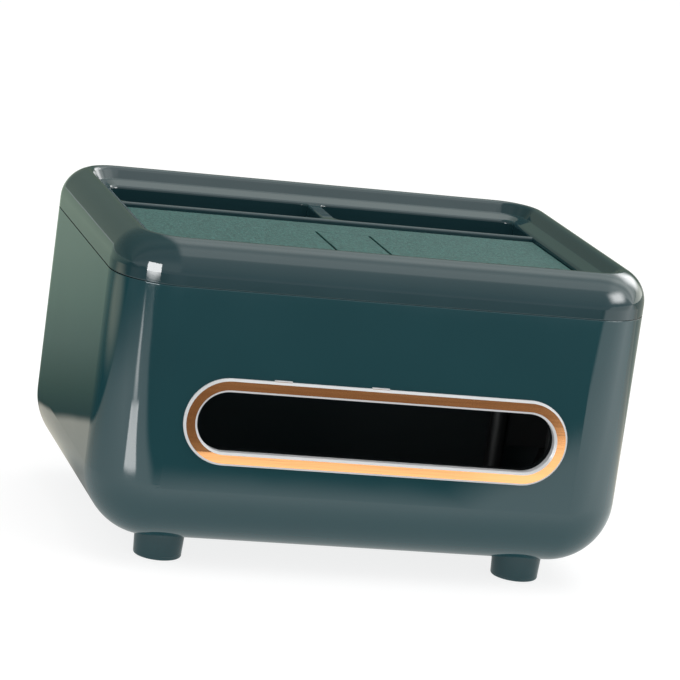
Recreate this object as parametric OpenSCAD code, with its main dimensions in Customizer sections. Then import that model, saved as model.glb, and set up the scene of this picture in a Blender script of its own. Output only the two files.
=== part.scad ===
// Tissue box with a gold outlet ring, a hinged refill lid, two storage wells and a rear drawer.
// Millimetres. X runs to the right, Y to the back, Z up from the floor that the feet stand on.
// The origin is the middle of the footprint, on the floor. The outlet faces -Y.

/* [Casing] */
// Width of the casing
body_w = 260; // [236:1:320]
// Depth of the casing, front face to back face
body_d = 195; // [188:1:240]
// Height of the lower shell, underside to seam
shell_h = 125.5; // [115:0.5:150]
// Wall thickness of the lower shell
wall = 2.6; // [2:0.1:3.4]
// Radius of the upright corners and of the edges round the front and back faces
corner_r = 30; // [27:0.5:32]
// Radius of the two big lower corners, seen from the front
belly_r = 32; // [32:0.5:42]

/* [Top cover] */
// Height of the cover's crest above the seam, before it is rounded
cover_h = 20.9; // [18:0.1:26]
// Radius of the cover's rolled outer edge
roll_r = 16; // [14:0.5:18]
// Distance of the crest in from the casing's side
crest_inset = 13.5; // [12.5:0.1:14.5]
// Radius that rounds the crest
crest_round = 3.2; // [1.5:0.1:3.4]
// Drop of the steep inner face below the crest
face_drop = 6; // [5:0.1:7]
// How far that face leans inwards
face_run = 3.7; // [2.6:0.1:4]
// Radius of the hollow at the foot of the steep face
crease_r = 0.8; // [0.3:0.1:1.5]
// Distance of the sill's inner edge in from the casing's side
rim_inset = 24; // [23:0.5:26]
// Fall of the sill from the steep face to its inner edge
sill_drop = 2.6; // [1.6:0.1:3.4]
// Radius that rounds the sill's inner edge
sill_round = 2; // [0.6:0.1:2.2]
// Radius that rounds the edges of shell and cover at the seam
seam_round = 0.5; // [0.2:0.1:0.8]
// Wall thickness of the cover
cover_wall = 2.4; // [1.8:0.1:3]
// Depth of the skirt that locates the cover inside the shell
skirt_h = 6; // [3:0.5:10]
// Thickness of that skirt
skirt_t = 1.6; // [1.2:0.1:2.4]
// Gap between the skirt and the shell
skirt_gap = 0.25; // [0.1:0.05:0.6]

/* [Storage wells] */
// Front-to-back length of the hatch in front of the wells
hatch_d = 108; // [100:1:112]
// Thickness of the rounded lip between hatch and wells
lip_t = 2.6; // [2:0.1:4]
// Depth of the wells below the lip
well_depth = 54; // [40:1:56]
// Drop of the lip's top below the sill's inner edge
lip_drop = 0.3; // [0.1:0.1:0.8]
// Thickness of the divider between the wells
divider_t = 7; // [4:0.1:9]
// Radius of the divider's top edges
divider_round = 1; // [0.4:0.1:1.2]
// Radius of the wells' upright corners
well_corner_r = 4; // [2:0.1:5]

/* [Refill lid] */
// Thickness of the lid panel
lid_t = 2.4; // [2:0.1:3]
// Drop of the lid's face below the sill's inner edge
lid_drop = 2.1; // [1.6:0.1:3.4]
// Gap round the lid
lid_gap = 0.7; // [0.5:0.05:1]
// Width of the ledge that the lid rests on
ledge_w = 5; // [3:0.5:7]
// Thickness of that ledge
ledge_t = 2; // [1.5:0.1:3]
// Radius of the rolled hinge edge of the lid
hinge_r = 3.2; // [2.8:0.1:4]
// Radius of the hinge pins
pin_r = 1.25; // [1:0.05:1.5]
// Depth that a pin reaches into the lid
pin_grip = 8; // [5:0.5:14]
// Depth that a pin is pressed into the cover
pin_seat = 6; // [4:0.5:9]
// Radial running clearance of the pins in the lid
pin_clearance = 0.05; // [0.02:0.01:0.1]
// Width of the sprung tongue
tab_w = 26; // [18:1:36]
// Length of the sprung tongue, from the lid's front edge
tab_l = 82.8; // [60:0.1:90]
// Width of the slits beside the tongue
slit_w = 1.2; // [0.8:0.1:2]
// Radius of the thumb notch in the tongue's front edge
notch_r = 9; // [6:0.5:9]

/* [Outlet] */
// Width of the outlet opening
outlet_w = 173.2; // [120:0.2:176]
// Height of the outlet opening
outlet_h = 28.6; // [24:0.2:34]
// Height of the outlet's centre above the casing's underside
outlet_z = 63.9; // [58:0.1:72]
// Width of the ring's face
ring_w = 6.4; // [5:0.1:8]
// How far the ring stands proud of the front face
ring_proud = 2; // [1.9:0.1:3]
// Bevel on the ring's inner and outer edges
ring_bevel = 1.1; // [0.6:0.1:1.2]
// Fall of the ring's face from its inner bevel to its outer bevel
ring_fall = 0.1; // [0.1:0.1:0.6]
// Thickness of the ring's collar
collar_t = 1.6; // [1.2:0.1:2]
// Length of the collar behind the front wall
collar_l = 4; // [3:0.5:8]
// Gap between the collar and the shell's cut-out
collar_gap = 0.2; // [0.1:0.05:0.4]
// Corner radius of that cut-out, whose corners the ring's face covers
mouth_corner = 7; // [6.6:0.2:12]
// Width of each snap hook on the collar
hook_w = 10; // [6:0.5:16]
// Reach of each snap hook beyond the collar
hook_reach = 1.2; // [0.8:0.1:1.8]
// Width of each small locating lug on the ring's top edge
lug_w = 8.4; // [5:0.1:12]
// Height of those lugs above the ring
lug_rise = 0.6; // [0.3:0.1:1.2]
// Offset of the left lug from the centre
lug_left = 48.3; // [30:0.1:60]
// Offset of the middle lug from the centre
lug_middle = 1.5; // [0:0.1:10]

/* [Drawer] */
// Width of the drawer front
drawer_w = 188; // [150:1:190]
// Height of the drawer front
drawer_h = 42; // [34:0.5:43]
// Height of the drawer front's lower edge above the casing's underside
drawer_z = 33; // [32:0.5:34]
// Gap round the drawer front
drawer_gap = 0.6; // [0.4:0.1:1]
// Setback of the tray's sides, floor and rim from the drawer front's edges
tray_setback = 3; // [2.5:0.1:5]
// Wall thickness of the tray
tray_wall = 2; // [1.6:0.1:2.6]
// Length of cradle left behind the slots that end the drawer's travel
slot_end = 10.2; // [4:0.1:24]
// Width of the finger pull's flange
pull_w = 66; // [44:1:90]
// Height of the finger pull's flange
pull_h = 20; // [18:0.5:24]
// Width of the finger pull's rim round its cup
pull_rim = 3.5; // [2.5:0.1:4.5]
// Depth of the finger pull's cup
pull_depth = 11; // [9:0.5:14]
// Wall thickness of the finger pull
pull_wall = 1.3; // [1:0.1:1.8]
// Wall thickness of the cradle that carries the drawer
cradle_wall = 2; // [1.6:0.1:2.6]
// Running gap between the tray and the cradle
slide_gap = 0.3; // [0.2:0.05:0.5]
// Thickness of the partition between tissue bay and drawer bay
partition_t = 2; // [1.6:0.1:3]
// Gap round the partition
partition_gap = 0.3; // [0.2:0.05:0.5]

/* [Feet] */
// Height of the casing's underside above the floor
foot_h = 12.2; // [9:0.1:18]
// Radius of a foot at its top
foot_r = 12; // [9:0.1:13]
// Radius of a foot at its bottom edge
foot_low_r = 11.4; // [8.6:0.1:13]
// Distance of the feet's centres in from the casing's sides
foot_side = 41; // [36:0.5:60]
// Distance of the feet's centres in from the front and back faces
foot_end = 35.5; // [32:0.5:40]
// Radius of the rubber pad under a foot
pad_r = 8; // [6:0.1:8.4]
// Thickness of that pad
pad_t = 1.6; // [1.2:0.1:2.4]
// How far a pad stands out of its foot
pad_proud = 0.4; // [0.2:0.1:0.8]

/* [Fasteners] */
// Radius of a screw's shank
screw_r = 1.5; // [1.2:0.05:1.7]
// Radius of a screw's head
head_r = 2.8; // [2.6:0.1:3.1]
// Height of a screw's head
head_h = 1.8; // [1.4:0.1:2.2]
// Radial clearance round a screw
screw_gap = 0.1; // [0.05:0.01:0.2]
// Length of thread that bites into a boss
screw_bite = 6; // [4:0.5:8]
// Radius of the bosses that the screws go into
boss_r = 4.5; // [4.2:0.1:5]

/* [Hidden] */
$fn = 96;

// Levels, from the floor up
base_z = foot_h;
seam_z = base_z + shell_h;
sill_h = cover_h - face_drop - sill_drop;
sill_z = seam_z + sill_h;
lip_top_z = sill_z - lip_drop;
lid_top_z = sill_z - lid_drop;
ledge_z = lid_top_z - lid_t;
hinge_z = lid_top_z - hinge_r;
well_floor_z = lip_top_z - well_depth;
post_top_z = seam_z - 1;

// Places from front to back
front_y = (ring_proud - body_d) / 2;
back_y = front_y + body_d;
mid_y = (front_y + back_y) / 2;
hatch_y = front_y + rim_inset;
lip_y = hatch_y + hatch_d;
hinge_y = lip_y - lid_gap - hinge_r;
well_front_y = lip_y + lip_t;
well_back_y = back_y - rim_inset;
partition_y = lip_y + lip_t - partition_t;
partition_back_y = partition_y + partition_t;

// Fine step where the wells' walls meet the rim's inner wall
well_step = 0.2;

// Hatch and lid
hatch_w = body_w - 2 * rim_inset;
hatch_r = corner_r - rim_inset;
lid_w = hatch_w - 2 * lid_gap;
lid_front_y = hatch_y + lid_gap;
tab_root_y = lid_front_y + tab_l;
nib_reach = lid_gap - 0.25;
nib_w = 3;

// The cover's section: centre of the roll, steep face, sill and rounding of the crest. A point is
// [distance in from the side, height above the seam].
roll_base = cover_h - sqrt(pow(roll_r, 2) - pow(roll_r - crest_inset, 2));
roll_centre = [roll_r, roll_base];
crest_point = [crest_inset, cover_h];
crease_point = [crest_inset + face_run, cover_h - face_drop];
sill_edge = [rim_inset, sill_h];
face_lean = atan(face_drop / face_run);
face_normal = [sin(face_lean), cos(face_lean)];
sill_lean = atan(sill_drop / (rim_inset - crease_point.x));
sill_normal = [sin(sill_lean), cos(sill_lean)];
crest_lean = face_lean + asin(((crest_point - roll_centre) * face_normal - crest_round)
                              / (roll_r - crest_round));
crest_normal = [-cos(crest_lean), sin(crest_lean)];
crest_centre = roll_centre + (roll_r - crest_round) * crest_normal;

// Screw posts, and the ears over them in the corners of the hatch
post_inset = boss_r + 3;
post_x = hatch_w / 2 - post_inset;
post_front_y = hatch_y + post_inset;
post_rear_y = hinge_y - hinge_r - 1 - boss_r;
web_t = 2;
web_top_z = seam_z - skirt_h - 1;
counterbore_gap = 0.2;
counterbore_r = head_r + counterbore_gap;
counterbore_h = head_h + counterbore_gap;

// Outlet ring
ring_out_w = outlet_w + 2 * ring_w;
ring_out_h = outlet_h + 2 * ring_w;
hook_l = 1.6;
hook_play = 0.15;
outlet_centre_z = base_z + outlet_z;

// Drawer, its tray and its cradle
face_bottom_z = base_z + drawer_z;
face_mid_z = face_bottom_z + drawer_h / 2;
face_back_y = back_y - wall;
tray_w = drawer_w - 2 * tray_setback;
tray_z = face_bottom_z + tray_setback;
tray_h = drawer_h - 2 * tray_setback;
tray_front_y = partition_back_y + 2;
cradle_front_y = partition_back_y + partition_gap;
cradle_rear_y = face_back_y - partition_gap;
cradle_in_w = tray_w + 2 * slide_gap;
cradle_out_w = cradle_in_w + 2 * cradle_wall;
cradle_floor_z = tray_z - slide_gap;
cradle_side_h = tray_h * 0.6;
stop_r = 2;
stop_y = tray_front_y + stop_r + 3;
stop_z = tray_z + cradle_side_h / 2;
drawer_travel = cradle_rear_y - slot_end - slide_gap - stop_r - stop_y;
flange_w = 2 * boss_r + 1;
flange_t = 2.4;
flange_l = 14;
flange_y = cradle_front_y + 1 + flange_l / 2;
flange_x = cradle_out_w / 2 + flange_w / 2;
flange_z = base_z + wall + screw_bite + 1;
pull_set = 1.2;
pull_fit = 0.1;
pull_cup_w = pull_w - 2 * pull_rim;
pull_cup_h = pull_h - 2 * pull_rim;
face_boss_r = 3.4;
face_boss_gap = 0.1;
face_screw_x = drawer_w / 2 - tray_setback - tray_wall - 9;
face_screw_head_r = face_boss_r + face_boss_gap + 0.9;
face_screw_l = wall + tray_wall - 1;

// Feet
foot_x = body_w / 2 - foot_side;
foot_front_y = front_y + foot_end;
foot_rear_y = back_y - foot_end;
foot_edge_r = 1;
seat_r = foot_r + 0.6;
foot_head_z = pad_t + counterbore_h;
cross_w = 0.8;

shell_color = [0.13, 0.26, 0.28];
lid_color = [0.29, 0.40, 0.38];
gold_color = [0.86, 0.62, 0.38];
steel_color = [0.75, 0.76, 0.78];
rubber_color = [0.12, 0.12, 0.13];

// ---------- flat shapes ----------

module rounded_rect(w, d, r) {
    square([w - 2 * r, d], center = true);
    square([w, d - 2 * r], center = true);
    for (x = [-1, 1], y = [-1, 1])
        translate([x * (w / 2 - r), y * (d / 2 - r)]) circle(r);
}

module stadium(w, h) {
    square([w - h, h], center = true);
    for (x = [-1, 1]) translate([x * (w - h) / 2, 0]) circle(d = h);
}

// The bit to take off a corner at p, between unit directions a and b, to round it
module corner_bit(p, a, b, r) {
    half = acos(a * b) / 2;
    middle = (a + b) / norm(a + b);
    centre = p + middle * r / sin(half);
    difference() {
        polygon([centre, p + a * r / tan(half), p - middle * r, p + b * r / tan(half)]);
        translate(centre) circle(r);
    }
}

// ---------- body shell ----------

// Half of the section that runs down both sides and across the bottom
module belly_section(inset) {
    intersection() {
        rounded_rect(2 * (belly_r - inset), body_d - 2 * inset, corner_r - inset);
        translate([0, -body_d / 2]) square([belly_r, body_d]);
    }
}

// The lower casing as a solid, drawn in by inset from its outer skin
module casing_solid(inset, height) {
    translate([0, mid_y, base_z + belly_r]) {
        linear_extrude(height - belly_r)
            rounded_rect(body_w - 2 * inset, body_d - 2 * inset, corner_r - inset);
        rotate([0, 90, 0]) linear_extrude(body_w - 2 * belly_r, center = true)
            belly_section(inset);
        for (side = [0, 1])
            mirror([side, 0, 0]) translate([body_w / 2 - belly_r, 0, 0])
                rotate([-90, 0, 0]) rotate_extrude(angle = 90) belly_section(inset);
    }
}

module at_posts() {
    for (x = [-1, 1], y = [post_front_y, post_rear_y]) translate([x * post_x, y, 0]) children();
}

module at_feet() {
    for (x = [-1, 1], y = [foot_front_y, foot_rear_y]) translate([x * foot_x, y, 0]) children();
}

module at_flanges() {
    for (x = [-1, 1]) translate([x * flange_x, flange_y, 0]) children();
}

// A post for each cover screw, with a web to the side wall
module screw_posts() {
    web_foot_z = base_z + belly_r;
    floor_z = base_z + wall / 2;
    at_posts() translate([0, 0, floor_z]) cylinder(r = boss_r, h = post_top_z - floor_z);
    for (x = [0, 1], y = [post_front_y, post_rear_y])
        mirror([x, 0, 0]) translate([post_x, y - web_t / 2, web_foot_z])
            cube([body_w / 2 - wall / 2 - post_x, web_t, web_top_z - web_foot_z]);
}

// Two ribs on each side wall that hold the partition upright
module partition_ribs() {
    rib_reach = 5;
    rib_h = well_floor_z - cover_wall - base_z - belly_r - 1;
    for (x = [0, 1], y = [partition_y - partition_gap - web_t, partition_back_y + partition_gap])
        mirror([x, 0, 0]) translate([body_w / 2 - wall - rib_reach, y, base_z + belly_r])
            cube([rib_reach + wall / 2, web_t, rib_h]);
}

module body_shell() color(shell_color) difference() {
    union() {
        difference() {
            casing_solid(0, shell_h);
            casing_solid(wall, shell_h + 1);
        }
        screw_posts();
        partition_ribs();
        at_feet() translate([0, 0, base_z]) cylinder(r = seat_r, h = wall);
        at_feet() translate([0, 0, base_z + wall / 2]) cylinder(r = boss_r, h = wall / 2 + screw_bite + 1);
        at_flanges() translate([0, 0, base_z + wall / 2])
            cylinder(r = boss_r, h = flange_z - base_z - wall / 2);
    }
    translate([0, front_y + wall + 1, outlet_centre_z]) rotate([90, 0, 0])
        linear_extrude(wall + 2)
            rounded_rect(outlet_w + 2 * (collar_t + collar_gap), outlet_h + 2 * (collar_t + collar_gap),
                mouth_corner);
    translate([0, back_y + 1, face_mid_z]) rotate([90, 0, 0])
        linear_extrude(wall + 2)
            rounded_rect(drawer_w + 2 * drawer_gap, drawer_h + 2 * drawer_gap, 3 + drawer_gap);
    at_posts() translate([0, 0, post_top_z - screw_bite - 1])
        cylinder(r = screw_r + screw_gap, h = screw_bite + 2);
    at_feet() translate([0, 0, base_z - 1])
        cylinder(r = screw_r + screw_gap, h = wall + screw_bite + 1);
    at_flanges() translate([0, 0, flange_z - screw_bite])
        cylinder(r = screw_r + screw_gap, h = screw_bite + 1);
    round_the_rim() corner_bit([0, 0], [1, 0], [0, -1], seam_round);
}

// ---------- top cover ----------

// Area under the cover's profile, drawn in by inset from the outer skin
module under_profile(inset, foot) {
    bend = 1 + face_normal * sill_normal;
    crease = crease_point - inset * (face_normal + sill_normal) / bend;
    run = 2 * rim_inset;
    intersection() {
        union() {
            intersection() {
                translate(roll_centre) circle(roll_r - inset);
                translate([0, roll_base]) square(roll_r);
            }
            translate([inset, -foot]) square([roll_r - inset, roll_base + foot]);
            translate([roll_r, -foot]) square([rim_inset - inset - roll_r, cover_h + foot]);
        }
        polygon([
            crease + run * [-cos(face_lean), sin(face_lean)], crease,
            crease + run * [cos(sill_lean), -sin(sill_lean)], [run, -run], [-run, -run]
        ]);
    }
}

// The solid section of the cover's rim, with its edges rounded
module rim_section() {
    up_face = [-cos(face_lean), sin(face_lean)];
    up_sill = [-cos(sill_lean), sin(sill_lean)];
    turn = (90 - crest_lean + face_lean) / 2;
    bisector = (crest_normal + face_normal) / norm(crest_normal + face_normal);
    cut_r = 1.1 * crest_round;
    difference() {
        under_profile(0, 0);
        under_profile(cover_wall, 1);
        difference() {
            polygon([
                crest_centre,
                crest_centre + cut_r * crest_normal,
                crest_centre + cut_r / cos(turn) * bisector,
                crest_centre + cut_r * face_normal
            ]);
            translate(crest_centre) circle(crest_round);
        }
        corner_bit(sill_edge, up_sill, [0, -1], sill_round);
        corner_bit([0, 0], [1, 0], [0, 1], seam_round);
    }
    corner_bit(crease_point, up_face, -up_sill, crease_r);
    // Step inside the seam that carries the skirt
    skirt_out = wall + skirt_gap;
    translate([cover_wall / 2, 0]) square([skirt_out + skirt_t - cover_wall / 2, roll_base]);
    translate([skirt_out, -skirt_h]) square([skirt_t, skirt_h + 1]);
}

// Sweeps a section, drawn inwards from the side, round the cover's outline
module round_the_rim() {
    straight_w = body_w - 2 * corner_r;
    straight_d = body_d - 2 * corner_r;
    translate([0, mid_y, seam_z]) {
        for (turn = [0, 180]) rotate(turn) {
            translate([0, -straight_d / 2, 0]) rotate([90, 0, -90])
                linear_extrude(straight_w, center = true)
                    translate([corner_r, 0]) mirror([1, 0]) children();
            translate([straight_w / 2, 0, 0]) rotate([90, 0, 0])
                linear_extrude(straight_d, center = true)
                    translate([corner_r, 0]) mirror([1, 0]) children();
            translate([straight_w / 2, straight_d / 2, 0]) rotate_extrude(angle = 90)
                translate([corner_r, 0]) mirror([1, 0]) children();
            translate([straight_w / 2, -straight_d / 2, 0]) rotate(-90) rotate_extrude(angle = 90)
                translate([corner_r, 0]) mirror([1, 0]) children();
        }
    }
}

// The two wells as one pocket, with the divider and the rounded lip
module wells() {
    pocket_d = well_back_y - well_front_y;
    pocket_y = (well_front_y + well_back_y) / 2;
    lip_axis_z = lip_top_z - lip_t / 2;
    block_z = well_floor_z - cover_wall;
    pocket_w = hatch_w - 2 * well_step;
    difference() {
        translate([0, pocket_y, block_z]) linear_extrude(seam_z + roll_base / 2 - block_z)
            rounded_rect(pocket_w + 2 * cover_wall, pocket_d + 2 * cover_wall - 2 * well_step,
                         hatch_r - well_step + cover_wall);
        translate([0, pocket_y, well_floor_z]) linear_extrude(well_depth + 1)
            rounded_rect(pocket_w, pocket_d - 2 * well_step, hatch_r - well_step);
        translate([-body_w / 2, lip_y - 2 * cover_wall, block_z - 1])
            cube([body_w, 2 * cover_wall, well_depth + 2 * cover_wall]);
    }
    translate([-hatch_w / 2 - 1, lip_y, well_floor_z])
        cube([hatch_w + 2, lip_t, lip_axis_z - well_floor_z]);
    translate([0, lip_y + lip_t / 2, lip_axis_z]) rotate([0, 90, 0])
        cylinder(d = lip_t, h = hatch_w + 2, center = true);
    translate([0, well_back_y + 1, well_floor_z - 1]) rotate([90, 0, 0])
        linear_extrude(pocket_d + 1 + lip_t / 2) divider_section();
    for (side = [0, 1]) mirror([side, 0, 0]) {
        translate([divider_t / 2, well_front_y, lip_top_z]) well_corner();
        translate([divider_t / 2, well_back_y, lip_top_z]) mirror([0, 1, 0]) well_corner();
        translate([hatch_w / 2, well_front_y, lip_top_z]) mirror([1, 0, 0]) well_corner();
    }
}

// Fills a well's corner at the origin to a radius, with its top edge rounded
module well_corner() {
    bury = 0.8;
    difference() {
        translate([-bury, -bury, -well_depth]) cube([well_corner_r + bury, well_corner_r + bury, well_depth]);
        translate([well_corner_r, well_corner_r, -well_depth - 1])
            cylinder(r = well_corner_r, h = well_depth + 2);
        translate([well_corner_r, well_corner_r, 0])
            rotate_extrude() corner_bit([well_corner_r, 0], [1, 0], [0, -1], divider_round);
    }
}

module divider_section() {
    h = well_depth + 1;
    difference() {
        translate([-divider_t / 2, 0]) square([divider_t, h]);
        for (side = [-1, 1])
            corner_bit([side * divider_t / 2, h], [-side, 0], [0, -1], divider_round);
    }
}

// Ledge under the lid on three sides, open under the tongue, with an ear over each post
module lid_ledge() {
    ledge_end_y = hinge_y - hinge_r - 0.6;
    tab_room = tab_w / 2 + slit_w;
    translate([0, 0, ledge_z - ledge_t]) linear_extrude(ledge_t) difference() {
        union() {
            difference() {
                translate([0, mid_y]) rounded_rect(hatch_w + 2, body_d - 2 * rim_inset + 2, hatch_r + 1);
                translate([-hatch_w / 2 + ledge_w, hatch_y + ledge_w])
                    square([hatch_w - 2 * ledge_w, body_d]);
            }
            for (x = [0, 1], y = [post_front_y, post_rear_y])
                mirror([x, 0]) translate([post_x, y - boss_r]) square([post_inset, 2 * boss_r]);
            for (x = [0, 1])
                mirror([x, 0]) translate([post_x - boss_r, hatch_y]) square([2 * boss_r, post_inset]);
        }
        translate([-body_w / 2, ledge_end_y]) square([body_w, body_d]);
        translate([-tab_room, hatch_y]) square([2 * tab_room, 2 * ledge_w]);
    }
    at_posts() translate([0, 0, post_top_z]) cylinder(r = boss_r, h = ledge_z - post_top_z);
}

module at_hinge_ends() {
    for (side = [0, 1])
        mirror([side, 0, 0]) translate([hatch_w / 2, hinge_y, hinge_z]) rotate([0, 90, 0]) children();
}

module top_cover() color(shell_color) difference() {
    union() {
        round_the_rim() rim_section();
        wells();
        lid_ledge();
        at_hinge_ends() translate([0, 0, 1]) cylinder(r = hinge_r + 0.8, h = pin_seat + 1);
    }
    at_hinge_ends() translate([0, 0, -1]) cylinder(r = pin_r, h = pin_seat + 1);
    at_posts() translate([0, 0, post_top_z - 1])
        cylinder(r = screw_r + screw_gap, h = ledge_z - post_top_z + 2);
    at_posts() translate([0, 0, ledge_z - counterbore_h])
        cylinder(r = counterbore_r, h = counterbore_h + 1);
}

// ---------- refill lid ----------

module refill_lid() color(lid_color) difference() {
    union() {
        lid_d = hinge_y - lid_front_y;
        lid_r = hatch_r - lid_gap;
        translate([0, 0, ledge_z]) linear_extrude(lid_t) intersection() {
            translate([0, lid_front_y + lid_d]) rounded_rect(lid_w, 2 * lid_d, lid_r);
            translate([-lid_w / 2, lid_front_y]) square([lid_w, lid_d]);
        }
        translate([0, hinge_y, hinge_z]) rotate([0, 90, 0]) cylinder(r = hinge_r, h = lid_w, center = true);
    }
    translate([-tab_w / 2 - slit_w, lid_front_y - 1, ledge_z - 1])
        cube([tab_w + 2 * slit_w, tab_l + 1, lid_t + 2]);
    at_hinge_ends() translate([0, 0, -lid_gap - pin_grip])
        cylinder(r = pin_r + pin_clearance, h = pin_grip + 1);
}

// Tongue between the slits, with a thumb notch and two nibs that rub on the hatch wall
module lid_tab() color(lid_color) {
    translate([0, 0, ledge_z]) linear_extrude(lid_t) difference() {
        translate([-tab_w / 2, lid_front_y]) square([tab_w, tab_l]);
        translate([0, lid_front_y]) circle(notch_r);
    }
    for (side = [0, 1])
        mirror([side, 0, 0]) translate([tab_w / 2 - nib_w, lid_front_y - nib_reach, ledge_z])
            cube([nib_w, nib_reach + 1, lid_t / 2]);
}

module hinge_pins() color(steel_color)
    at_hinge_ends() translate([0, 0, -lid_gap - pin_grip + 0.3])
        cylinder(r = pin_r, h = pin_grip + lid_gap + pin_seat - 0.3);

// ---------- outlet ring ----------

// Section of the ring's bar: x is the distance out from the opening, y the height off the front face
module ring_section() {
    polygon([
        [0, -wall - collar_l], [collar_t, -wall - collar_l], [collar_t, 0], [ring_w, 0],
        [ring_w, ring_proud - ring_fall - ring_bevel], [ring_w - ring_bevel, ring_proud - ring_fall],
        [ring_bevel, ring_proud], [0, ring_proud - ring_bevel]
    ]);
}

module outlet_ring() color(gold_color) translate([0, front_y, outlet_centre_z]) rotate([90, 0, 0]) {
    straight = outlet_w - outlet_h;
    for (turn = [0, 180]) rotate(turn) {
        translate([straight / 2, 0, 0]) rotate(-90) rotate_extrude(angle = 180)
            translate([outlet_h / 2, 0]) ring_section();
        translate([0, outlet_h / 2, 0]) rotate([90, 0, 90])
            linear_extrude(straight, center = true) ring_section();
    }
    // Snap hooks behind the front wall
    for (x = [-1, 1], y = [0, 1])
        mirror([0, y, 0]) translate([x * straight / 3 - hook_w / 2, outlet_h / 2, -wall - hook_play - hook_l])
            cube([hook_w, collar_t + hook_reach, hook_l]);
    // Locating lugs on the top edge
    for (x = [-lug_left, -lug_middle])
        translate([x - lug_w / 2, ring_out_h / 2 - 1, 0])
            cube([lug_w, 1 + lug_rise, ring_proud - ring_bevel]);
}

// ---------- inside ----------

module partition() color(shell_color) {
    gap = wall + partition_gap;
    w = body_w - 2 * gap;
    r = belly_r - gap;
    foot_z = base_z + gap;
    head_z = well_floor_z - cover_wall - partition_gap;
    translate([0, partition_back_y, 0]) rotate([90, 0, 0]) linear_extrude(partition_t) {
        translate([-w / 2, foot_z + r]) square([w, head_z - foot_z - r]);
        translate([-w / 2 + r, foot_z]) square([w - 2 * r, r + 1]);
        for (x = [-1, 1]) translate([x * (w / 2 - r), foot_z + r]) circle(r);
    }
}

// Stop pins of the tray run in a slot of this length
module stop_slot() {
    slot = drawer_travel + 2 * (stop_r + slide_gap);
    translate([0, stop_y + drawer_travel / 2, stop_z]) rotate([90, 0, 90])
        linear_extrude(cradle_wall + 2, center = true) stadium(slot, 2 * (stop_r + slide_gap));
}

module drawer_cradle() color(shell_color) difference() {
    depth = cradle_rear_y - cradle_front_y;
    leg_top_z = cradle_floor_z - cradle_wall;
    union() {
        translate([-cradle_out_w / 2, cradle_front_y, leg_top_z])
            cube([cradle_out_w, depth, cradle_wall]);
        for (x = [0, 1]) mirror([x, 0, 0]) {
            translate([cradle_in_w / 2, cradle_front_y, leg_top_z])
                cube([cradle_wall, depth, cradle_wall + cradle_side_h]);
            translate([cradle_in_w / 2, flange_y - flange_l / 2, flange_z])
                cube([cradle_wall, flange_l, leg_top_z - flange_z + 1]);
            translate([cradle_in_w / 2, flange_y - flange_l / 2, flange_z])
                cube([cradle_wall + flange_w, flange_l, flange_t]);
        }
    }
    for (x = [0, 1]) mirror([x, 0, 0])
        translate([cradle_in_w / 2 + cradle_wall / 2, 0, 0]) stop_slot();
    at_flanges() translate([0, 0, flange_z - 1]) cylinder(r = screw_r + screw_gap, h = flange_t + 2);
}

// ---------- drawer ----------

module at_face_screws() {
    for (x = [-1, 1]) translate([x * face_screw_x, face_back_y, face_mid_z]) rotate([90, 0, 0]) children();
}

module drawer_tray() color(shell_color) difference() {
    union() {
        translate([-tray_w / 2, tray_front_y, tray_z])
            cube([tray_w, face_back_y - tray_front_y, tray_h]);
        for (x = [0, 1])
            mirror([x, 0, 0]) translate([tray_w / 2 - 1, stop_y, stop_z]) rotate([0, 90, 0])
                cylinder(r = stop_r, h = 1 + slide_gap + cradle_wall);
    }
    translate([-tray_w / 2 + tray_wall, tray_front_y + tray_wall, tray_z + tray_wall])
        cube([tray_w - 2 * tray_wall, face_back_y - tray_front_y - 2 * tray_wall, tray_h]);
    at_face_screws() translate([0, 0, -1])
        cylinder(r = face_boss_r + face_boss_gap, h = tray_wall + 2);
    pull_cut(pull_wall + pull_fit, tray_wall + wall);
}

// Cut-out for the finger pull's cup, from the back face inwards
module pull_cut(margin, depth) {
    translate([0, back_y + 1, face_mid_z]) rotate([90, 0, 0])
        linear_extrude(depth + 2) stadium(pull_cup_w + 2 * margin, pull_cup_h + 2 * margin);
}

module drawer_front() color(shell_color) difference() {
    union() {
        translate([0, back_y, face_mid_z]) rotate([90, 0, 0])
            linear_extrude(wall) rounded_rect(drawer_w, drawer_h, 3);
        at_face_screws() cylinder(r = face_boss_r, h = tray_wall - face_boss_gap);
    }
    at_face_screws() translate([0, 0, -(wall - 1)])
        cylinder(r = screw_r + screw_gap, h = wall + tray_wall);
    pull_cut(pull_wall + pull_fit, wall);
    translate([0, back_y + 1, face_mid_z]) rotate([90, 0, 0])
        linear_extrude(1 + pull_set) stadium(pull_w + 2 * pull_fit, pull_h + 2 * pull_fit);
}

module drawer_pull() color(gold_color)
    translate([0, back_y, face_mid_z]) rotate([90, 0, 0]) difference() {
        union() {
            linear_extrude(pull_set) stadium(pull_w, pull_h);
            linear_extrude(pull_depth + pull_wall)
                stadium(pull_cup_w + 2 * pull_wall, pull_cup_h + 2 * pull_wall);
        }
        translate([0, 0, -1]) linear_extrude(pull_depth + 1) stadium(pull_cup_w, pull_cup_h);
    }

// ---------- feet ----------

module foot_profile() {
    bottom_z = pad_proud;
    difference() {
        polygon([[0, bottom_z], [foot_low_r, bottom_z], [foot_r, base_z], [0, base_z]]);
        lean = norm([foot_r - foot_low_r, base_z - bottom_z]);
        corner_bit([foot_low_r, bottom_z], [-1, 0],
                   [(foot_r - foot_low_r) / lean, (base_z - bottom_z) / lean], foot_edge_r);
        translate([0, bottom_z - 1]) square([pad_r + screw_gap, pad_t - bottom_z + 1]);
        translate([0, pad_t - 1]) square([counterbore_r, counterbore_h + 1]);
        square([screw_r + screw_gap, base_z + 1]);
    }
}

module foot(x, y) color(shell_color)
    translate([x * foot_x, y, 0]) rotate_extrude() foot_profile();

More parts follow.
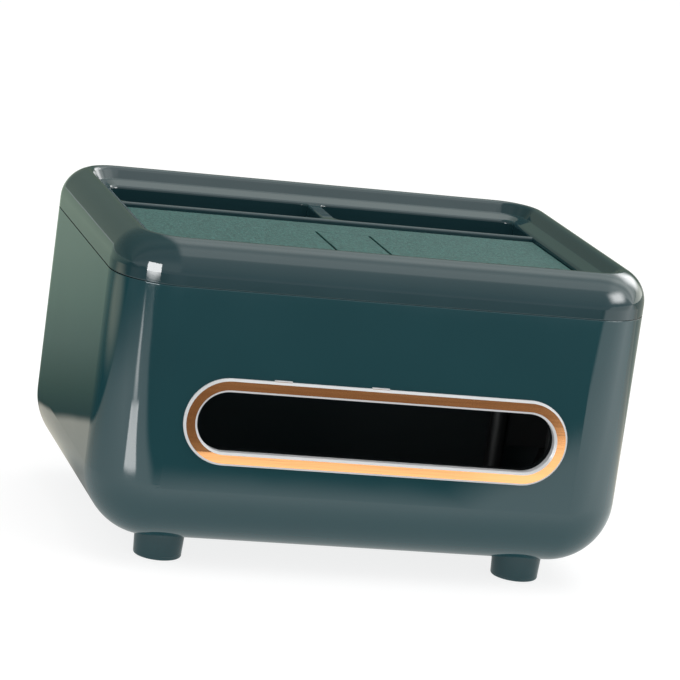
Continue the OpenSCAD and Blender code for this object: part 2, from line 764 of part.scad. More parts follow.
module pad(x, y) color(rubber_color)
    translate([x * foot_x, y, 0]) cylinder(r = pad_r, h = pad_t);

// ---------- screws ----------

// A screw with its shank upwards from the underside of its head at z = 0
module screw(shank, r_head) {
    color(steel_color) difference() {
        union() {
            translate([0, 0, -head_h]) cylinder(r = r_head, h = head_h);
            cylinder(r = screw_r, h = shank);
        }
        for (turn = [0, 90]) rotate(turn)
            translate([-head_r * 0.6, -cross_w / 2, -head_h - 1])
                cube([head_r * 1.2, cross_w, 1 + head_h / 2]);
    }
}

module cover_screws()
    at_posts() translate([0, 0, ledge_z - counterbore_h]) mirror([0, 0, 1])
        screw(ledge_z - counterbore_h - post_top_z + screw_bite, head_r);

module cradle_screws()
    at_flanges() translate([0, 0, flange_z + flange_t]) mirror([0, 0, 1])
        screw(flange_t + screw_bite - 0.5, head_r);

module drawer_front_screws()
    at_face_screws() translate([0, 0, tray_wall]) mirror([0, 0, 1])
        screw(face_screw_l, face_screw_head_r);

module foot_screws()
    at_feet() translate([0, 0, foot_head_z])
        screw(base_z + wall + screw_bite - 0.5 - foot_head_z, head_r);

body_shell();
top_cover();
cover_screws();
refill_lid();
lid_tab();
hinge_pins();
outlet_ring();
partition();
drawer_cradle();
cradle_screws();
drawer_tray();
drawer_front();
drawer_front_screws();
drawer_pull();
foot(-1, foot_front_y);  // foot_front_left
foot(1, foot_front_y);  // foot_front_right
foot(-1, foot_rear_y);  // foot_rear_left
foot(1, foot_rear_y);  // foot_rear_right
pad(-1, foot_front_y);  // pad_front_left
pad(1, foot_front_y);  // pad_front_right
pad(-1, foot_rear_y);  // pad_rear_left
pad(1, foot_rear_y);  // pad_rear_right
foot_screws();
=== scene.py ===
import math

import bpy
from mathutils import Matrix, Vector

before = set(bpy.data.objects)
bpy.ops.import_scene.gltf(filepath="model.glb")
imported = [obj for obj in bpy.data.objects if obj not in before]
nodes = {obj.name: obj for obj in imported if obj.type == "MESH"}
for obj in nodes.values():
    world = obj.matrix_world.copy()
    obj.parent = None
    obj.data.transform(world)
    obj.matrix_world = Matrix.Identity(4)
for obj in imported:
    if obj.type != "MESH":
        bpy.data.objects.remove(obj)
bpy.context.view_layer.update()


# ---------------------------------------------------------------------------------------------
# Camera. The photograph was taken from the front left and a little above, with a long lens, and
# leans to one side. Angles are in degrees, places in metres in the part's own frame.
# ---------------------------------------------------------------------------------------------
def towards(azimuth, elevation):
    """Unit vector from the box. Azimuth 0 is straight ahead of its front, 90 to its right."""
    azimuth, elevation = math.radians(azimuth), math.radians(elevation)
    return Vector((math.sin(azimuth) * math.cos(elevation),
                   -math.cos(azimuth) * math.cos(elevation),
                   math.sin(elevation)))


camera_place = Vector((-0.4433, -1.5741, 0.4501))
camera_azimuth = -15.833
camera_elevation = 12.179
camera_lean = 7.883
camera_lens_mm = 180.5
camera_film_mm = 36.0
camera_reach = 20.0

camera = bpy.data.objects.new("camera", bpy.data.cameras.new("camera"))
camera.data.lens = camera_lens_mm
camera.data.sensor_width = camera_film_mm
camera.data.clip_end = camera_reach
level = towards(camera_azimuth, camera_elevation).to_track_quat("Z", "Y").to_matrix().to_4x4()
camera.matrix_world = (Matrix.Translation(camera_place) @ level
                       @ Matrix.Rotation(math.radians(camera_lean), 4, "Z"))
bpy.context.scene.collection.objects.link(camera)
bpy.context.scene.camera = camera
bpy.context.scene.view_settings.view_transform = "Standard"


# ---------------------------------------------------------------------------------------------
# Floor. White paper on a studio table, with the box's soft shadow on it. The gloss of the box
# sees what such a table shows from low down: the lit sheet, cut narrower towards its front, the
# box's own shade, and the dim room past the sheet's edges.
# ---------------------------------------------------------------------------------------------
class Value:
    """A shader socket, so that an expression on values makes its Math nodes."""

    def __init__(self, paint, socket):
        self.paint = paint
        self.socket = socket

    def __add__(self, other):
        return self.paint.math("ADD", self, other)

    def __radd__(self, other):
        return self.paint.math("ADD", other, self)

    def __sub__(self, other):
        return self.paint.math("SUBTRACT", self, other)

    def __rsub__(self, other):
        return self.paint.math("SUBTRACT", other, self)

    def __mul__(self, other):
        return self.paint.math("MULTIPLY", self, other)

    def __rmul__(self, other):
        return self.paint.math("MULTIPLY", other, self)

    def __pow__(self, other):
        return self.paint.math("POWER", self, other)

    def __neg__(self):
        return 0 - self

    def __abs__(self):
        return self.paint.math("ABSOLUTE", self)

    def above(self, floor):
        """How far the value is above the floor, and 0 where it is below it."""
        return self.paint.math("MAXIMUM", self - floor, 0)


class Paint:
    """The shader of one material or of the world."""

    def __init__(self, owner):
        owner.use_nodes = True
        self.owner = owner
        self.tree = owner.node_tree
        self.tree.nodes.clear()

    def node(self, kind, settings=None, inputs=(), out=0):
        made = self.tree.nodes.new(kind)
        for name, setting in (settings or {}).items():
            if name == "stops":
                while len(made.color_ramp.elements) < len(setting):
                    made.color_ramp.elements.new(1)
                for element, (place, color) in zip(made.color_ramp.elements, setting):
                    element.position = place
                    element.color = color
            else:
                setattr(made, name, setting)
        for name, given in inputs.items() if isinstance(inputs, dict) else enumerate(inputs):
            if isinstance(given, Value):
                self.tree.links.new(given.socket, made.inputs[name])
            else:
                made.inputs[name].default_value = given
        return Value(self, made.outputs[out]) if made.outputs else None

    def math(self, operation, *terms):
        return self.node("ShaderNodeMath", {"operation": operation}, terms)

    def mix(self, factor, a, b):
        """Colour a where the factor is 0, b where it is 1."""
        return self.node("ShaderNodeMix", {"data_type": "RGBA"}, {0: factor, 6: a, 7: b}, out=2)

    def scaled(self, color, gain):
        """The colour, as many times as bright as the gain says."""
        return self.node("ShaderNodeVectorMath", {"operation": "SCALE"},
                         {"Vector": color, "Scale": gain})

    def step(self, value, low, high):
        """Rises smoothly from 0 at low to 1 at high."""
        return self.node("ShaderNodeMapRange", {"interpolation_type": "SMOOTHSTEP"},
                         {"Value": value, "From Min": low, "From Max": high})

    def along(self, value, low, high, stops):
        """Colour read off a row of stops, each a place on the way from low to high and a colour."""
        way = self.node("ShaderNodeMapRange", {},
                        {"Value": value, "From Min": low, "From Max": high})
        stops = [((place - low) / (high - low), (*color, 1)) for place, color in stops]
        return self.node("ShaderNodeValToRGB", {"stops": stops}, [way])

    def axes(self, vector):
        return [self.node("ShaderNodeSeparateXYZ", {}, [vector], out=axis) for axis in range(3)]


def distance(a, b):
    """Length of the line whose run along two axes is a and b."""
    return (a ** 2 + b ** 2) ** 0.5


def stage_card(name, corners, material):
    """A flat four-cornered piece of the stage."""
    mesh = bpy.data.meshes.new(name)
    mesh.from_pydata(corners, [], [(0, 1, 2, 3)])
    for loop, place in zip(mesh.uv_layers.new(name="card").data, ((0, 0), (1, 0), (1, 1), (0, 1))):
        loop.uv = place
    mesh.materials.append(material)
    card = bpy.data.objects.new(name, mesh)
    bpy.context.scene.collection.objects.link(card)
    return card


# What the camera sees: paper lit by the lamps, at this share, and a plain white glow on top.
floor_half = 14.0
paper_share = 0.28
paper_glow = 0.83

# The lit sheet, as the gloss sees it. Its front edge runs straight in the middle and slants back
# on both sides, and its back edge slants forward on the left.
sheet_strength = 2.0
sheet_front = -0.268
sheet_front_half = 0.1
front_slant_left = 0.75
front_slant_right = 1.25
sheet_back = 0.19
sheet_back_left = 0.17
back_slant = 0.4
box_shade = 0.8
left_end_light = 0.2
right_end_light = 0.3

# The dim room past the sheet, with a painted bright patch at the rear left, paler at the rear
# right.
bright_patch_place = (-0.65, 0.20)
bright_patch_core = 0.05
bright_patch_reach = 0.25
bright_patch_color = (0.65, 0.65, 0.49, 1)
rear_right_color = (0.27, 0.28, 0.24, 1)

paint = Paint(bpy.data.materials.new("table_paper"))
x, y, _ = paint.axes(paint.node("ShaderNodeNewGeometry"))
beside = paint.step(abs(x), 0.08, 0.22)
beneath = paint.step(y, -0.2, 0.03) * (1 - paint.step(y, 0.05, 0.11))
shade = 1 - box_shade * (1 - beside) * beneath
from_left = left_end_light + (1 - left_end_light) * paint.step(x, -0.72, -0.42)
to_right = 1 + right_end_light * paint.step(x, 0.12, 0.35)
sheet = paint.along(y, -0.8, 0.2, [
    (-0.75, (0.55, 0.55, 0.54)), (-0.5, (0.62, 0.62, 0.61)), (-0.33, (0.75, 0.76, 0.75)),
    (-0.2, (0.84, 0.86, 0.85)), (-0.1, (0.66, 0.68, 0.67)), (0.0, (0.48, 0.50, 0.49)),
    (0.1, (0.34, 0.33, 0.29)), (0.19, (0.36, 0.34, 0.29))])
dim_room = paint.along(y, -1.5, 1.0, [
    (-1.5, (0.30, 0.30, 0.31)), (-0.8, (0.22, 0.23, 0.24)), (-0.72, (0.11, 0.09, 0.075)),
    (0.17, (0.02, 0.02, 0.015)), (0.25, (0.05, 0.065, 0.045)), (0.37, (0.11, 0.14, 0.11)),
    (0.5, (0.15, 0.195, 0.15)), (0.65, (0.19, 0.24, 0.185)), (1.0, (0.24, 0.30, 0.23))])
rear_right = paint.step(x, 0.15, 0.35) * paint.step(y, 0.1, 0.2)
slant = front_slant_left + (front_slant_right - front_slant_left) * paint.step(x, -0.05, 0.05)
past_front = y + slant * abs(x).above(sheet_front_half) - sheet_front
past_back = y + back_slant * (-x).above(sheet_back_left) - sheet_back
on_sheet = paint.step(past_front, -0.03, 0.03) * (1 - paint.step(past_back, -0.012, 0.012))
# A painted bright patch in what the gloss sees of the table, at the rear left.
bright_patch = 1 - paint.step(distance(x - bright_patch_place[0], y - bright_patch_place[1]), bright_patch_core, bright_patch_reach)
dim_room = paint.mix(bright_patch, paint.mix(rear_right, dim_room, rear_right_color), bright_patch_color)
lit = paint.node("ShaderNodeEmission", {}, {
    "Color": paint.scaled(sheet, from_left * to_right * shade), "Strength": sheet_strength})
dim = paint.node("ShaderNodeEmission", {}, {"Color": dim_room, "Strength": sheet_strength})
gloss_sees = paint.node("ShaderNodeMixShader", {}, [on_sheet, dim, lit])
paper = paint.node("ShaderNodeBsdfDiffuse", {}, {"Color": (0.9, 0.9, 0.9, 1)})
white = paint.node("ShaderNodeEmission", {}, {"Strength": paper_glow / (1 - paper_share)})
shown = paint.node("ShaderNodeMixShader", {}, [1 - paper_share, paper, white])
glossy_ray = paint.node("ShaderNodeLightPath", out="Is Glossy Ray")
paint.node("ShaderNodeOutputMaterial", {}, [
    paint.node("ShaderNodeMixShader", {}, [glossy_ray, shown, gloss_sees])])
stage_card("table", [(-floor_half, -floor_half, 0), (floor_half, -floor_half, 0),
                     (floor_half, floor_half, 0), (-floor_half, floor_half, 0)], paint.owner)

# ---------------------------------------------------------------------------------------------
# Surround. White to the camera and to matt surfaces. The gloss sees the studio: two long bands
# of softboxes overhead, which end above the box's left side, a dim room to the left and a window
# at the back right. Both rows of stops go by the turn over the box, from 0 ahead to 180 behind.
# ---------------------------------------------------------------------------------------------
surround_light = 0.72
room_strength = 2.5
right_wall_light = 0.35
window_color = (0.72, 0.73, 0.66, 1)

bpy.context.scene.world = bpy.data.worlds.new("surround")
paint = Paint(bpy.context.scene.world)
look_x, look_y, look_z = paint.axes(paint.node("ShaderNodeTexCoord"))
turn = 180 / math.pi * paint.math("ARCTAN2", look_z, -look_y)
softbox_side = paint.along(turn, 0, 180, [
    (0, (0.20, 0.21, 0.22)), (18, (0.27, 0.28, 0.28)), (45, (0.36, 0.37, 0.37)),
    (51, (0.43, 0.44, 0.43)), (55.5, (0.80, 0.82, 0.81)), (78, (0.82, 0.84, 0.82)),
    (90, (0.57, 0.58, 0.57)), (96, (0.67, 0.68, 0.66)), (104, (0.94, 0.96, 0.93)),
    (111, (0.94, 0.96, 0.93)), (118, (0.72, 0.74, 0.71)), (129, (0.66, 0.68, 0.65)),
    (136, (0.42, 0.43, 0.40)), (146, (0.26, 0.27, 0.24)), (157, (0.10, 0.12, 0.09)),
    (180, (0.06, 0.07, 0.05))])
dim_side = paint.along(turn, 0, 180, [
    (0, (0.34, 0.36, 0.36)), (20, (0.34, 0.36, 0.36)), (32, (0.24, 0.25, 0.25)),
    (45, (0.19, 0.20, 0.20)), (66, (0.22, 0.23, 0.22)), (80, (0.13, 0.14, 0.13)),
    (99, (0.18, 0.20, 0.18)), (120, (0.10, 0.12, 0.10)), (145, (0.08, 0.09, 0.07)),
    (180, (0.12, 0.14, 0.11))])
room = paint.mix(paint.step(look_x, -0.05, 0.12), dim_side, softbox_side)
window = paint.step(look_x, 0.6, 0.8) * paint.step(turn, 135, 150)
room = paint.mix(window, room, window_color)
room = paint.scaled(room, 1 + right_wall_light * paint.step(look_x, 0.45, 0.62))
gloss_sees = paint.node("ShaderNodeBackground", {}, {"Color": room, "Strength": room_strength})
matt_sees = paint.node("ShaderNodeBackground", {}, {
    "Color": (1, 1, 1, 1), "Strength": surround_light})
camera_sees = paint.node("ShaderNodeBackground", {}, {"Color": (1, 1, 1, 1), "Strength": 1.0})
glossy_ray = paint.node("ShaderNodeLightPath", out="Is Glossy Ray")
camera_ray = paint.node("ShaderNodeLightPath", out="Is Camera Ray")
not_camera = paint.node("ShaderNodeMixShader", {}, [glossy_ray, matt_sees, gloss_sees])
paint.node("ShaderNodeOutputWorld", {}, [
    paint.node("ShaderNodeMixShader", {}, [camera_ray, not_camera, camera_sees])])


# ---------------------------------------------------------------------------------------------
# Reflections. Softboxes stand to the front left and to the right of the table, as is usual for
# glossy goods. They show only in the gloss, and each fades towards its edges.
# ---------------------------------------------------------------------------------------------
def reflection_card(name, corners, radiance, fade):
    """A glowing card that only the gloss sees. The fade is a share of its width and height."""
    paint = Paint(bpy.data.materials.new(name))
    u, v, _ = paint.axes(paint.node("ShaderNodeTexCoord", out="UV"))
    across = 1 - paint.step(abs(u - 0.5), 0.5 - fade, 0.5)
    upward = 1 - paint.step(abs(v - 0.5), 0.5 - fade, 0.5)
    glow = paint.node("ShaderNodeEmission", {}, {"Strength": radiance})
    clear = paint.node("ShaderNodeBsdfTransparent")
    paint.node("ShaderNodeOutputMaterial", {}, [
        paint.node("ShaderNodeMixShader", {}, [across * upward, clear, glow])])
    card = stage_card(name, corners, paint.owner)
    card.visible_camera = False
    card.visible_diffuse = False
    card.visible_shadow = False
    card.visible_transmission = False


box_middle = Vector((0, 0, 0.1))
softbox_distance = 3


def softbox(name, azimuth, elevation, width, height, radiance, fade):
    """A softbox that faces the box, with its place and its width and height in degrees."""
    ahead = towards(azimuth, elevation)
    middle = ahead * softbox_distance + box_middle
    side = Vector((0, 0, 1)).cross(ahead).normalized()
    rise = ahead.cross(side).normalized()
    side *= softbox_distance * math.tan(math.radians(width / 2))
    rise *= softbox_distance * math.tan(math.radians(height / 2))
    reflection_card(name, [middle - side - rise, middle + side - rise,
                           middle + side + rise, middle - side + rise], radiance, fade)


softbox("right_front_softbox", 55, 24, 42, 40, 13.0, 0.42)
softbox("right_rear_softbox", 127, 27, 40, 34, 7.0, 0.4)
reflection_card("strip_softbox", [
    (-0.677, -0.435, 0.005), (-0.457, -0.655, 0.005),
    (-0.457, -0.655, 0.335), (-0.677, -0.435, 0.335)], 19.0, 0.03)
reflection_card("table_glint", [
    (-0.196, -0.2455, 0.001), (-0.345, -0.345, 0.001),
    (-0.400, -0.275, 0.001), (-0.262, -0.1865, 0.001)], 10.0, 0.12)
reflection_card("far_table_glint", [
    (-0.262, -0.290, 0.002), (-0.680, -0.485, 0.002),
    (-0.665, -0.425, 0.002), (-0.300, -0.225, 0.002)], 7.0, 0.45)


# ---------------------------------------------------------------------------------------------
# Lamps. Two soft lamps overhead light the matt surfaces and cast the box's faint shadow. The
# gloss doesn't see them, because its softboxes are cards of their own.
# ---------------------------------------------------------------------------------------------
lamp_distance = 1.6


def soft_lamp(name, azimuth, elevation, size, watts):
    lamp = bpy.data.objects.new(name, bpy.data.lights.new(name, "AREA"))
    lamp.data.shape = "DISK"
    lamp.data.size = size
    lamp.data.energy = watts
    lamp.location = towards(azimuth, elevation) * lamp_distance + box_middle
    lamp.rotation_euler = towards(azimuth, elevation).to_track_quat("Z", "Y").to_euler()
    lamp.visible_glossy = False
    bpy.context.scene.collection.objects.link(lamp)


soft_lamp("overhead_lamp", 20, 65, 1.3, 9)
soft_lamp("rear_lamp", 150, 55, 0.9, 5)


# ---------------------------------------------------------------------------------------------
# Feet. Four short round feet moulded in the casing's plastic and left as polished as the tool.
# Their lower edges are scuffed a little by the table.
# ---------------------------------------------------------------------------------------------
def srgb(red, green, blue):
    """A colour in a colour chart's numbers from 0 to 255, as the linear colour of a shader."""
    def linear(level):
        level = level / 255
        return level / 12.92 if level <= 0.04045 else ((level + 0.055) / 1.055) ** 2.4
    return (linear(red), linear(green), linear(blue), 1.0)


class Finish(Paint):
    """The material of one or more CAD nodes, with patterns that keep their place on the piece."""

    def __init__(self, name, *wearers):
        super().__init__(bpy.data.materials.new(name))
        self.place = self.node("ShaderNodeTexCoord", out="Object")
        for wearer in wearers:
            nodes[wearer].data.materials.clear()
            nodes[wearer].data.materials.append(self.owner)

    def noise(self, scale, detail=2.0, place=None):
        return self.node("ShaderNodeTexNoise", {}, {
            "Vector": place or self.place, "Scale": scale, "Detail": detail})

    def stretched(self, *factors):
        """The piece's own coordinates, each times a factor, for patterns that run one way."""
        return self.node("ShaderNodeVectorMath", {"operation": "MULTIPLY"}, [self.place, factors])

    def relief(self, height, depth):
        """Normal of a surface whose height map is depth metres deep."""
        return self.node("ShaderNodeBump", {}, {
            "Height": height, "Distance": depth, "Strength": 1.0})

    def surface(self, color, roughness, normal, metallic=0.0, gap_shade=None):
        """Finishes the material, with painted shade: near black where the mask says it lies deep in
        a gap.
        """
        skin = self.node("ShaderNodeBsdfPrincipled", {}, {
            "Base Color": color, "Roughness": roughness, "Normal": normal, "Metallic": metallic,
            "IOR": 1.5})
        if gap_shade is not None:
            # Painted shade: a near-black diffuse skin wherever the seam mask is set.
            black = self.node("ShaderNodeBsdfDiffuse", {}, {"Color": (0.002, 0.003, 0.003, 1)})
            skin = self.node("ShaderNodeMixShader", {}, [gap_shade, skin, black])
        self.node("ShaderNodeOutputMaterial", {}, [skin])


finish = Finish("foot_gloss", "foot_front_left", "foot_front_right",
                "foot_rear_left", "foot_rear_right")
cloud = finish.noise(90.0)
scratch = finish.noise(60.0, 3.0, finish.stretched(1, 1, 12))
low = 1 - finish.step(finish.axes(finish.place)[2], 0.001, 0.004)
finish.surface(finish.mix(cloud, srgb(20, 58, 64), srgb(25, 64, 70)),
               0.07 + 0.05 * cloud + 0.3 * low * finish.step(scratch, 0.4, 0.6),
               finish.relief(scratch, 0.00001))

# ---------------------------------------------------------------------------------------------
# Pads. Soft black rubber discs punched from sheet and glued into the feet, with a fine chalky
# bloom on the rubber.
# ---------------------------------------------------------------------------------------------
finish = Finish("pad_rubber", "pad_front_left", "pad_front_right",
                "pad_rear_left", "pad_rear_right")
bloom = finish.noise(500.0, 4.0)
pores = finish.noise(3200.0)
finish.surface(finish.mix(finish.step(bloom, 0.35, 0.7), srgb(26, 26, 28), srgb(50, 50, 52)),
               0.72 + 0.15 * bloom, finish.relief(pores, 0.00006))


# ---------------------------------------------------------------------------------------------
# Foot screws. Zinc-plated steel, turned, with the plating's faint cloudy bloom. One goes up
# through each foot into the shell.
# ---------------------------------------------------------------------------------------------
def zinc_plate(name, wearer):
    finish = Finish(name, wearer)
    bloom = finish.noise(700.0, 4.0)
    turning = finish.noise(1500.0, 2.0, finish.stretched(0.15, 0.15, 1))
    finish.surface(finish.mix(bloom, srgb(176, 180, 186), srgb(208, 210, 212)),
                   0.2 + 0.2 * bloom, finish.relief(turning, 0.00002), metallic=1.0)


zinc_plate("foot_screw_zinc", "foot_screws")


# ---------------------------------------------------------------------------------------------
# Body shell. One injection moulding in dark blue-green ABS. The tool is polished where it makes
# the outside and left finely matt inside, and the inside's colour is darkened as painted shade.
# The polish shows a faint orange peel and long waves.
# ---------------------------------------------------------------------------------------------
def reach(node):
    """The least and the greatest place on a CAD node."""
    places = [vertex.co for vertex in nodes[node].data.vertices]
    return [Vector([end(row) for row in zip(*places)]) for end in (min, max)]


shell_low, shell_high = reach("body_shell")
corner_radius = 0.030
belly_radius = 0.032
skin_depth = (0.0011, 0.0015)
# A band of painted black shade along the seam: its half height, and where along the sides it
# starts.
seam_half = 0.00028
seam_shade_sides = (0.112, 0.126)
polish_depth = 0.0002


def seam_shade(finish):
    """Painted shade in the seam between shell and cover: black along the sides, not at front and
    back.
    """
    x, _, z = finish.axes(finish.place)
    in_seam = 1 - finish.step(abs(z - shell_high.z), seam_half - 0.0001, seam_half)
    return in_seam * finish.step(abs(x), *seam_shade_sides)


def polish(finish, wave_scale, waviness):
    """Long waves from the tool, and their height with a faint orange peel on it."""
    waves = finish.noise(wave_scale, 1.0)
    peel = finish.noise(420.0)
    return waves, waves * waviness + peel * 0.006


def dust(finish):
    """Specks of dust that the gloss has caught."""
    return finish.step(finish.noise(2100.0, 1.0), 0.66, 0.74)


finish = Finish("shell_gloss", "body_shell")
x, y, z = finish.axes(finish.place)
middle_y = (shell_low.y + shell_high.y) / 2
across = distance(abs(x).above(shell_high.x - belly_radius),
                  (-z).above(-shell_low.z - belly_radius))
depth = corner_radius - distance(across.above(belly_radius - corner_radius),
                                 abs(y - middle_y).above(shell_high.y - middle_y - corner_radius))
# Inside the shell the finish is matt and its colour is darkened as painted shade.
inside_matt_and_painted_shade = finish.step(depth, *skin_depth)
waves, height = polish(finish, 24.0, 0.6)
haze = finish.step(finish.noise(34.0, 4.0), 0.5, 0.75)
grain = finish.noise(2600.0)
outer = finish.mix(waves, srgb(20, 60, 66), srgb(24, 64, 70))
# The seam's painted black shade runs along the shell's top edge.
finish.surface(finish.mix(inside_matt_and_painted_shade, outer, srgb(14, 22, 24)),
               0.035 + 0.03 * haze + 0.08 * dust(finish) + 0.5 * inside_matt_and_painted_shade,
               finish.relief(height + 0.1 * inside_matt_and_painted_shade * grain, polish_depth),
               gap_shade=seam_shade(finish))

# ---------------------------------------------------------------------------------------------
# Outlet ring. A snap-in ring of white ABS whose flat front is hot-stamped with rose-gold foil.
# The foil is finely brushed along the bar and stops at the bevels, which stay bare. Its face is
# lightly crowned along the lower bar. Behind the wall the collar is darkened to near black as
# painted shade.
# ---------------------------------------------------------------------------------------------
ring_straight_half = 0.072
ring_middle_z = 0.0761
ring_inner_radius = 0.0145
ring_outer_radius = 0.0209
collar_shade_y = -0.0940
crown_slope = 0.033
foil_depth = 0.00002

finish = Finish("ring_foil", "outlet_ring")
x, y, z = finish.axes(finish.place)
facing = -finish.axes(finish.node("ShaderNodeTexCoord", out="Normal"))[1]
# Painted shade: the bare collar is darkened to near black from collar_shade_y back into the box.
collar_painted_shade = finish.step(y, collar_shade_y - 0.0004, collar_shade_y + 0.0004)
radius = distance(abs(x).above(ring_straight_half), z - ring_middle_z)
on_face = 1 - finish.step(radius, ring_outer_radius - 0.0002, ring_outer_radius)
foil = finish.step(facing, 0.8, 0.9) * on_face
brushing = finish.noise(260.0, 3.0, finish.stretched(0.12, 1, 3))
crown = crown_slope / foil_depth * (ring_middle_z - z).above(ring_inner_radius)
foil_color = finish.mix(brushing, (0.87, 0.40, 0.16, 1), (0.92, 0.46, 0.20, 1))
bare_color_with_shade = finish.mix(collar_painted_shade, srgb(212, 213, 214), srgb(22, 25, 26))
finish.surface(finish.mix(foil, bare_color_with_shade, foil_color), 0.22 - 0.1 * foil + 0.06 * brushing,
               finish.relief(brushing - foil * crown, foil_depth), metallic=foil)

# ---------------------------------------------------------------------------------------------
# Partition. A moulded panel that slides into ribs between tissue bay and drawer bay. Nobody sees
# it in use, so it has the tool's milled matt finish.
# ---------------------------------------------------------------------------------------------
finish = Finish("partition_matt", "partition")
milling = finish.noise(300.0, 2.0, finish.stretched(0.06, 1, 1))
grain = finish.noise(2200.0)
finish.surface(finish.mix(milling, srgb(22, 42, 46), srgb(28, 50, 54)), 0.5 + 0.15 * milling,
               finish.relief(milling + 0.3 * grain, 0.00004))


# ---------------------------------------------------------------------------------------------
# Drawer cradle and its screws. The cradle is a plain moulding whose runners are rubbed smooth by
# the drawer. Weld closes the seams between the faces, so that the bevel rounds the real edges.
# ---------------------------------------------------------------------------------------------
def soften(node, width):
    """Rounds the sharp edges of a CAD node a little, as moulding leaves them."""
    weld = nodes[node].modifiers.new("weld", "WELD")
    weld.merge_threshold = 0.00001
    bevel = nodes[node].modifiers.new("bevel", "BEVEL")
    bevel.width = width
    bevel.segments = 2
    bevel.angle_limit = math.radians(40)
    bevel.use_clamp_overlap = False
    bevel.harden_normals = True


finish = Finish("cradle_satin", "drawer_cradle")
rubbed = finish.noise(50.0, 4.0, finish.stretched(1, 0.1, 1))
grain = finish.noise(1800.0)
finish.surface(finish.mix(rubbed, srgb(22, 56, 61), srgb(30, 66, 71)),
               0.45 - 0.2 * finish.step(rubbed, 0.5, 0.7), finish.relief(grain, 0.00003))
soften("drawer_cradle", 0.0003)
zinc_plate("cradle_screw_zinc", "cradle_screws")

# ---------------------------------------------------------------------------------------------
# Drawer tray. Moulded with a satin inside that hides scratches. Small things that slide about
# in it leave fine marks on its bottom.
# ---------------------------------------------------------------------------------------------
finish = Finish("tray_satin", "drawer_tray")
grain = finish.noise(1500.0, 3.0)
marks = finish.step(finish.noise(140.0, 5.0, finish.stretched(1, 5, 1)), 0.6, 0.68)
cloud = finish.noise(40.0)
finish.surface(finish.mix(cloud, srgb(24, 60, 65), srgb(31, 69, 73)),
               0.34 + 0.1 * cloud - 0.08 * marks, finish.relief(grain - 0.3 * marks, 0.00004))
soften("drawer_tray", 0.0003)

# ---------------------------------------------------------------------------------------------
# Drawer front and its screws. The front is polished like the casing round it, with a few smears
# from fingers round the pull.
# ---------------------------------------------------------------------------------------------
pull_low, pull_high = reach("drawer_pull")
pull_middle_z = (pull_low.z + pull_high.z) / 2
handled_near = 0.02
handled_far = 0.07

finish = Finish("drawer_front_gloss", "drawer_front")
x, _, z = finish.axes(finish.place)
waves, height = polish(finish, 28.0, 0.6)
handled = 1 - finish.step(distance(x, (z - pull_middle_z) * 2), handled_near, handled_far)
smears = finish.step(finish.noise(55.0, 4.0, finish.stretched(1, 1, 2)), 0.45, 0.7)
finish.surface(finish.mix(waves, srgb(20, 60, 66), srgb(24, 64, 70)),
               0.05 + 0.03 * waves + 0.16 * handled * smears, finish.relief(height, polish_depth))
soften("drawer_front", 0.0003)
zinc_plate("drawer_screw_zinc", "drawer_front_screws")

# ---------------------------------------------------------------------------------------------
# Drawer pull. A recessed cup in ABS, plated rose gold all over and bonded into the front. Nails
# leave fine scratches in the cup.
# ---------------------------------------------------------------------------------------------
finish = Finish("pull_plate", "drawer_pull")
cloud = finish.noise(90.0)
nails = finish.step(finish.noise(170.0, 4.0, finish.stretched(0.2, 1, 4)), 0.6, 0.66)
finish.surface(finish.mix(cloud, (0.91, 0.60, 0.35, 1), (0.94, 0.66, 0.41, 1)),
               0.1 + 0.06 * cloud + 0.16 * nails, finish.relief(cloud - 0.2 * nails, 0.00002),
               metallic=1.0)
soften("drawer_pull", 0.00025)

# ---------------------------------------------------------------------------------------------
# Top cover and its screws. A second moulding in the same ABS, a little greyer, with a polished
# rolled rim. Hands that reach into the wells leave a thin haze on the rim, and the gate left a
# faint round mark on the divider.
# ---------------------------------------------------------------------------------------------
gate_place = (0.0, 0.0525)
gate_radius = 0.002
rim_z = 0.150

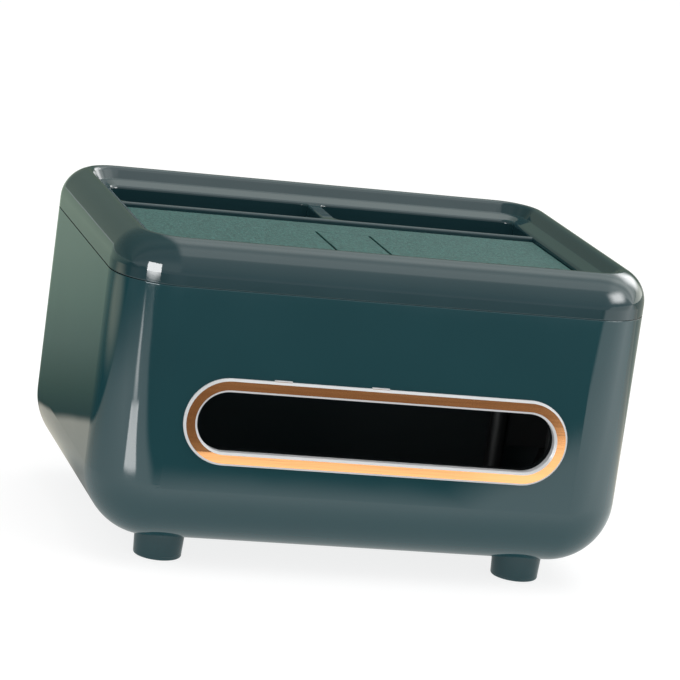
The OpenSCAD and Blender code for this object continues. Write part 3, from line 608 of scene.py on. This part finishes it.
finish = Finish("cover_gloss", "top_cover")
x, y, z = finish.axes(finish.place)
waves, height = polish(finish, 30.0, 0.5)
handled = finish.step(z, rim_z - 0.006, rim_z + 0.004)
haze = handled * finish.step(finish.noise(42.0, 4.0), 0.42, 0.72)
gate = distance(x - gate_place[0], y - gate_place[1])
dimple = 1 - finish.step(abs(gate - gate_radius), 0.0001, 0.0004)
# The seam's painted black shade runs along the cover's lower edge too.
finish.surface(finish.mix(waves, srgb(29, 56, 61), srgb(33, 60, 65)),
               0.035 + 0.05 * haze + 0.08 * dust(finish),
               finish.relief(height - 0.2 * dimple, polish_depth), gap_shade=seam_shade(finish))
zinc_plate("cover_screw_zinc", "cover_screws")


# ---------------------------------------------------------------------------------------------
# Refill lid and its tongue. Both are spark-eroded to a coarse dry grain that glitters slightly.
# The grain is rubbed smoother where a thumb presses the tongue.
# ---------------------------------------------------------------------------------------------
def spark_grain(name, node, thumb_y=None):
    finish = Finish(name, node)
    coarse = finish.noise(760.0, 3.0)
    fine = finish.noise(2400.0, 1.0)
    cloud = finish.noise(26.0, 3.0)
    grain = finish.step(coarse * 0.8 + fine * 0.2, 0.38, 0.64)
    roughness = 0.5 + 0.08 * cloud
    if thumb_y is not None:
        y = finish.axes(finish.place)[1]
        roughness = roughness - 0.12 * (1 - finish.step(y, thumb_y, thumb_y + 0.018))
    finish.surface(finish.mix(grain, srgb(8, 61, 60), srgb(42, 94, 90)), roughness,
                   finish.relief(coarse + 0.4 * fine, 0.0003))
    soften(node, 0.0003)


spark_grain("lid_grain", "refill_lid")
spark_grain("tongue_grain", "lid_tab", -0.060)

# ---------------------------------------------------------------------------------------------
# Hinge pins. Drawn steel wire, cut to length, bright and finely grooved along their length. They
# are pressed into the cover, and the lid turns on them.
# ---------------------------------------------------------------------------------------------
finish = Finish("pin_steel", "hinge_pins")
drawing = finish.noise(2600.0, 2.0, finish.stretched(0.04, 1, 1))
stain = finish.noise(200.0, 3.0)
finish.surface(finish.mix(stain, srgb(150, 153, 158), srgb(190, 192, 195)),
               0.18 + 0.15 * drawing, finish.relief(drawing, 0.00002), metallic=1.0)
